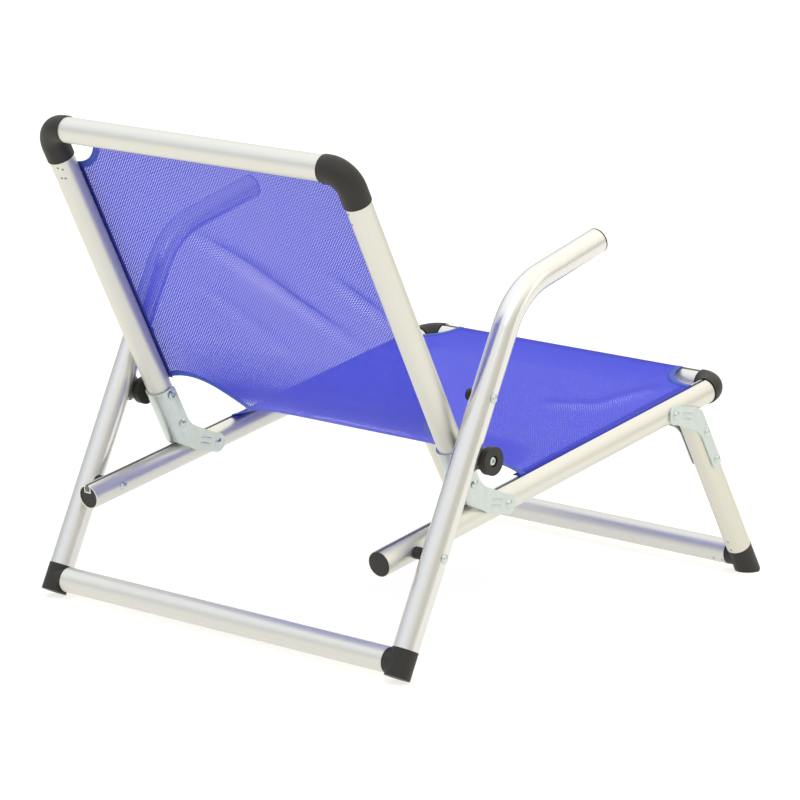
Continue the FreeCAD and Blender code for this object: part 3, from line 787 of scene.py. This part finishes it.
def carve(piece, cutter):
    """Cut one shape out of another and clear the cutter away."""
    deselect()
    bpy.context.view_layer.objects.active = piece
    piece.select_set(True)
    cut = piece.modifiers.new("cut", "BOOLEAN")
    cut.operation = "DIFFERENCE"
    cut.object = cutter
    bpy.ops.object.modifier_apply(modifier=cut.name)
    bpy.data.objects.remove(cutter)


def joined(pieces):
    deselect()
    for piece in pieces:
        piece.select_set(True)
    bpy.context.view_layer.objects.active = pieces[0]
    bpy.ops.object.join()
    return bpy.context.object


def make_roller_bolts():
    """Pan-headed bolts with hexagon sockets, their outer heads in the rollers' recesses."""
    axis = Vector(joints["roller_left_spin"]["pos_m"])
    parts = []
    for _, side in SIDES:
        out = Vector((side, 0, 0))
        inner_face = HALF_WIDTH - EAR_OUT - BOLT_CLEARANCE
        for face, level, end in ((out, ROLLER_RECESS_FACE, HEAD_FACE),
                                 (-out, -inner_face, -inner_face + INNER_HEAD_HEIGHT)):
            middle = face * ((level + end) / 2)
            head = turned(Vector((middle.x, axis.y, axis.z)), face, HEAD_R, end - level, 40, 1.3 * MM, 4)
            tip = face * end
            carve(head, turned(Vector((tip.x, axis.y, axis.z)), face, SOCKET_R, 4 * MM, 6))
            parts.append(head)
        middle = (inner_face + ROLLER_RECESS_FACE) / 2 * side
        parts.append(turned(Vector((middle, axis.y, axis.z)), out, SHANK_R,
                            ROLLER_RECESS_FACE - inner_face + 0.4 * MM))
    bolts = finish_piece(joined(parts), "socket_bolts", "zinc", "backrest")
    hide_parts("roller_bolts")


def make_bracket_ribs():
    """Two pressed ribs beside each eye, on both faces of the four brackets."""
    eyes = (("back", "backrest_fold", BACK_ANGLE, "backrest"),
            ("front", "front_leg_fold", FRONT_LEG_ANGLE, "front_legs"))
    for name, joint, angle, body in eyes:
        eye = Vector(joints[joint]["pos_m"])
        towards = side_dir(angle - pi / 2 + RIB_TURN)
        across = side_dir(angle + RIB_TURN)
        ribs = []
        for _, side in SIDES:
            for face in (1, -1):
                for spread in (-RIB_SPREAD, RIB_SPREAD):
                    place = eye + towards * (RIB_START + RIB_LENGTH / 2) + across * spread
                    place.x = side * HALF_WIDTH + face * EAR_OUT
                    rib = turned(place, towards, RIB_R, RIB_LENGTH, 16, 1.2 * MM, 3)
                    deselect()
                    rib.select_set(True)
                    bpy.ops.object.transform_apply(location=False, rotation=True, scale=True)
                    rib.scale = (0.5, 1, 1)
                    ribs.append(rib)
        finish_piece(joined(ribs), name + "_bracket_ribs", "zinc", body)


def make_end_cap():
    """The flat cap that covers the right rail's open end."""
    cap = turned(RAIL_ORIGIN + Vector((-HALF_WIDTH, 0, 0)) - RAIL_DIR * CAP_SEAT, RAIL_DIR,
                 CAP_R, CAP_DEPTH, 64, 0.7 * MM)
    finish_piece(cap, "rail_end_cap", "black", "seat_frame")


def make_crimps():
    """Small punch marks that lock the plastic spigots in the tubes, drawn as grey discs whose colour is
    painted shade in each dent.
    """
    leg_back = side_dir(FRONT_LEG_ANGLE - pi / 2)
    leg_up = -side_dir(FRONT_LEG_ANGLE)
    low, high = (Vector(corner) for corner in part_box("front_cross_bar"))
    floor_bar = (low + high) / 2
    floor_bar.x = 0
    top = BACK_ORIGIN + BACK_DIR * UPRIGHT_REACH
    marks = {"backrest": [], "front_legs": []}
    for _, side in SIDES:
        edge = Vector((side * HALF_WIDTH, 0, 0))
        out = Vector((side, 0, 0))
        for along in (20 * MM, 33 * MM):
            marks["front_legs"].append((floor_bar + edge + leg_up * along, leg_back))
        for along in (21 * MM, 34 * MM):
            marks["front_legs"].append((floor_bar + edge - out * along, Vector((0, 0.8, -0.6))))
        for along, lean in ((47 * MM, -0.3), (61 * MM, -0.3), (50 * MM, -0.6), (62 * MM, -0.55)):
            normal = (out * lean - BACK_FACE * (1 - lean ** 2) ** 0.5).normalized()
            marks["backrest"].append((top + edge - BACK_DIR * along, normal))
    for body, spots in marks.items():
        dots = [turned(place + normal * (TUBE_R - CRIMP_SINK), normal, CRIMP_R, CRIMP_DEPTH, 16, 0.25 * MM, 2)
                for place, normal in spots]
        finish_piece(joined(dots), body + "_crimp_painted_shade", "crimp_painted_shade", body)


# ---- camera, light and floor ------------------------------------------------------------------
CAMERA_PLACE = RAIL_ORIGIN + Vector((-3.1198, 3.3271, 1.0827))
CAMERA_YAW = radians(180 + 40.762)
CAMERA_PITCH = radians(-11.507)
CAMERA_ROLL = radians(1.332)
CAMERA_LENS = 185.26


def make_camera():
    data = bpy.data.cameras.new("camera")
    data.lens = CAMERA_LENS
    camera = bpy.data.objects.new("camera", data)
    bpy.context.collection.objects.link(camera)
    turn = (Matrix.Rotation(CAMERA_YAW, 3, "Z") @ Matrix.Rotation(pi / 2 + CAMERA_PITCH, 3, "X")
            @ Matrix.Rotation(CAMERA_ROLL, 3, "Z"))
    camera.location = CAMERA_PLACE
    camera.rotation_euler = turn.to_euler()
    bpy.context.scene.camera = camera


class Sky(Finish):
    """The studio round the chair, brighter overhead, warm on one side and cool on the other."""

    def __init__(self):
        world = bpy.data.worlds.new("studio")
        world.use_nodes = True
        self.tree = world.node_tree
        self.shader = self.tree.nodes["Background"]
        bpy.context.scene.world = world


WARM_SIDE = Vector((-0.757, -0.653, 0))
CAMERA_SIDE = Vector((-0.684, 0.730, 0))
SIDE_LEVEL = 0.70
TOP_GAIN = 0.76
CAMERA_SIDE_LOSS = 0.10
COOL = (0.95, 0.98, 1.04)
WARM = (1.05, 1.01, 0.90)


def make_sky():
    sky = Sky()
    way = sky.node("ShaderNodeTexCoord", output="Generated")
    x, y, z = sky.split(way)
    warm = x * WARM_SIDE.x + y * WARM_SIDE.y
    behind = x * CAMERA_SIDE.x + y * CAMERA_SIDE.y
    height = sky.smooth(z, 0.10, 0.80)
    level = (SIDE_LEVEL + height * TOP_GAIN
             - sky.smooth(behind, 0.45, 0.95) * (1 - height) * CAMERA_SIDE_LOSS)
    tint = sky.mix(sky.smooth(warm, -0.8, 0.8), COOL, WARM)
    sky.set(Color=tint, Strength=level)


def softbox(name, place, aim, size, power):
    data = bpy.data.lights.new(name, "AREA")
    data.shape = "RECTANGLE"
    data.size, data.size_y = size
    data.energy = power
    light = bpy.data.objects.new(name, data)
    light.location = place
    light.rotation_euler = (Vector(aim) - Vector(place)).to_track_quat("-Z", "Y").to_euler()
    bpy.context.collection.objects.link(light)


def make_studio():
    make_sky()
    softbox("key", (-1.9, 1.6, 2.6), (0, 0, 0.3), (1.4, 1.4), 7)
    softbox("strip", (-2.4, -1.2, 1.1), (0, 0, 0.3), (0.5, 1.6), 3)
    bpy.ops.mesh.primitive_plane_add(size=24, location=(0, 0, 0))
    floor = bpy.context.object
    floor.name = "floor"
    paint = Finish("floor_paper", (0.36, 0.355, 0.33), 1.0, gloss=0.0)
    paint.set(Emission_Color=(1.0, 0.985, 0.935, 1), Emission_Strength=0.78)
    floor.data.materials.append(paint.material)
    bpy.context.scene.view_settings.view_transform = "Standard"


finish_nodes()
declare_sling(*make_sling())
make_roller_bolts()
make_bracket_ribs()
make_end_cap()
make_crimps()
make_camera()
make_studio()
